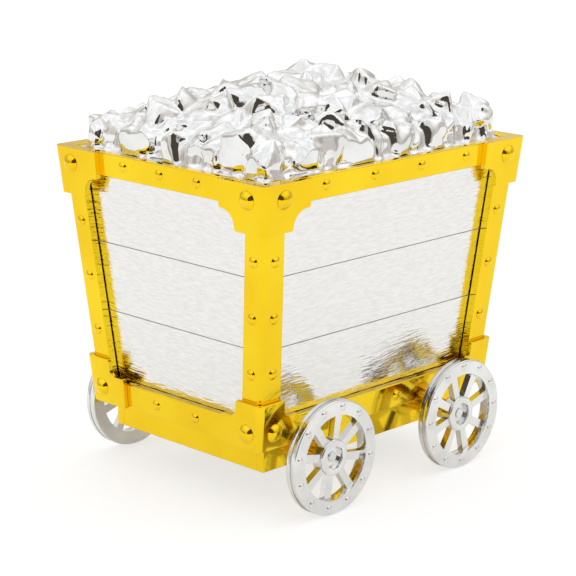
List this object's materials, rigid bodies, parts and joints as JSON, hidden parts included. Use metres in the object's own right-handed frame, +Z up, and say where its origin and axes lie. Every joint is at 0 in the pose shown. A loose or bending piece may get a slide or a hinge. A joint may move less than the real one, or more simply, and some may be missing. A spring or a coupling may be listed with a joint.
{
  "type": "mine cart",
  "caption": "Small plated mine cart: leaning plank tub in a riveted corner-braced frame, a lift-out load of ore, and two spoked wheelsets.",
  "frame": {"origin": "on the ground under the middle of the cart", "axes": "+X direction of travel, +Y left side and axle direction, +Z up"},
  "size_m": [0.1534, 0.1226, 0.1606],
  "materials": {
    "gold_frame": "gold-coloured mirror plating",
    "silver_plank": "silver plating over embossed wood grain",
    "silver_wheel": "silver mirror plating",
    "silver_ore": "silver mirror plating over rough lumps",
    "axle_steel": "plain drawn steel",
    "bush_brass": "gold-coloured sleeve"
  },
  "bodies": {
    "root": {"axle_bush_front_left": "bush_brass", "axle_bush_front_right": "bush_brass", "axle_bush_rear_left": "bush_brass", "axle_bush_rear_right": "bush_brass", "chassis_end_beam_front": "gold_frame", "chassis_end_beam_rear": "gold_frame", "chassis_screws": "gold_frame", "chassis_sill_left": "gold_frame", "chassis_sill_right": "gold_frame", "corner_post_front_left": "gold_frame", "corner_post_front_right": "gold_frame", "corner_post_rear_left": "gold_frame", "corner_post_rear_right": "gold_frame", "cross_bearer_front": "gold_frame", "cross_bearer_rear": "gold_frame", "lower_bracket_bolts": "gold_frame", "lower_bracket_front_left": "gold_frame", "lower_bracket_front_right": "gold_frame", "lower_bracket_rear_left": "gold_frame", "lower_bracket_rear_right": "gold_frame", "lower_rail_front": "gold_frame", "lower_rail_left": "gold_frame", "lower_rail_rear": "gold_frame", "lower_rail_right": "gold_frame", "lower_rail_rivets": "gold_frame", "plank_high_front": "silver_plank", "plank_high_left": "silver_plank", "plank_high_rear": "silver_plank", "plank_high_right": "silver_plank", "plank_low_front": "silver_plank", "plank_low_left": "silver_plank", "plank_low_rear": "silver_plank", "plank_low_right": "silver_plank", "plank_middle_front": "silver_plank", "plank_middle_left": "silver_plank", "plank_middle_rear": "silver_plank", "plank_middle_right": "silver_plank", "post_rivets": "gold_frame", "tub_floor": "silver_plank", "upper_bracket_bolts": "gold_frame", "upper_bracket_front_left": "gold_frame", "upper_bracket_front_right": "gold_frame", "upper_bracket_rear_left": "gold_frame", "upper_bracket_rear_right": "gold_frame", "upper_rail_front": "gold_frame", "upper_rail_left": "gold_frame", "upper_rail_rear": "gold_frame", "upper_rail_right": "gold_frame", "upper_rail_rivets": "gold_frame"},
    "front_wheelset": {"axle_front": "axle_steel", "wheel_front_left": "silver_wheel", "wheel_front_right": "silver_wheel", "wheel_rivets_front": "silver_wheel"},
    "rear_wheelset": {"axle_rear": "axle_steel", "wheel_rear_left": "silver_wheel", "wheel_rear_right": "silver_wheel", "wheel_rivets_rear": "silver_wheel"},
    "ore_load": {"ore_load": "silver_ore"}
  },
  "joints": [
    {"name": "front_wheelset_spin", "type": "hinge", "parent": "root", "child": "front_wheelset", "pos_m": [0.0377, 0, 0.02265], "axis": [0, 1, 0], "continuous": true},
    {"name": "rear_wheelset_spin", "type": "hinge", "parent": "root", "child": "rear_wheelset", "pos_m": [-0.0377, 0, 0.02265], "axis": [0, 1, 0], "continuous": true},
    {"name": "ore_load_lift", "type": "slide", "parent": "root", "child": "ore_load", "axis": [0, 0, 1], "range_m": [0, 0.06]}
  ]
}
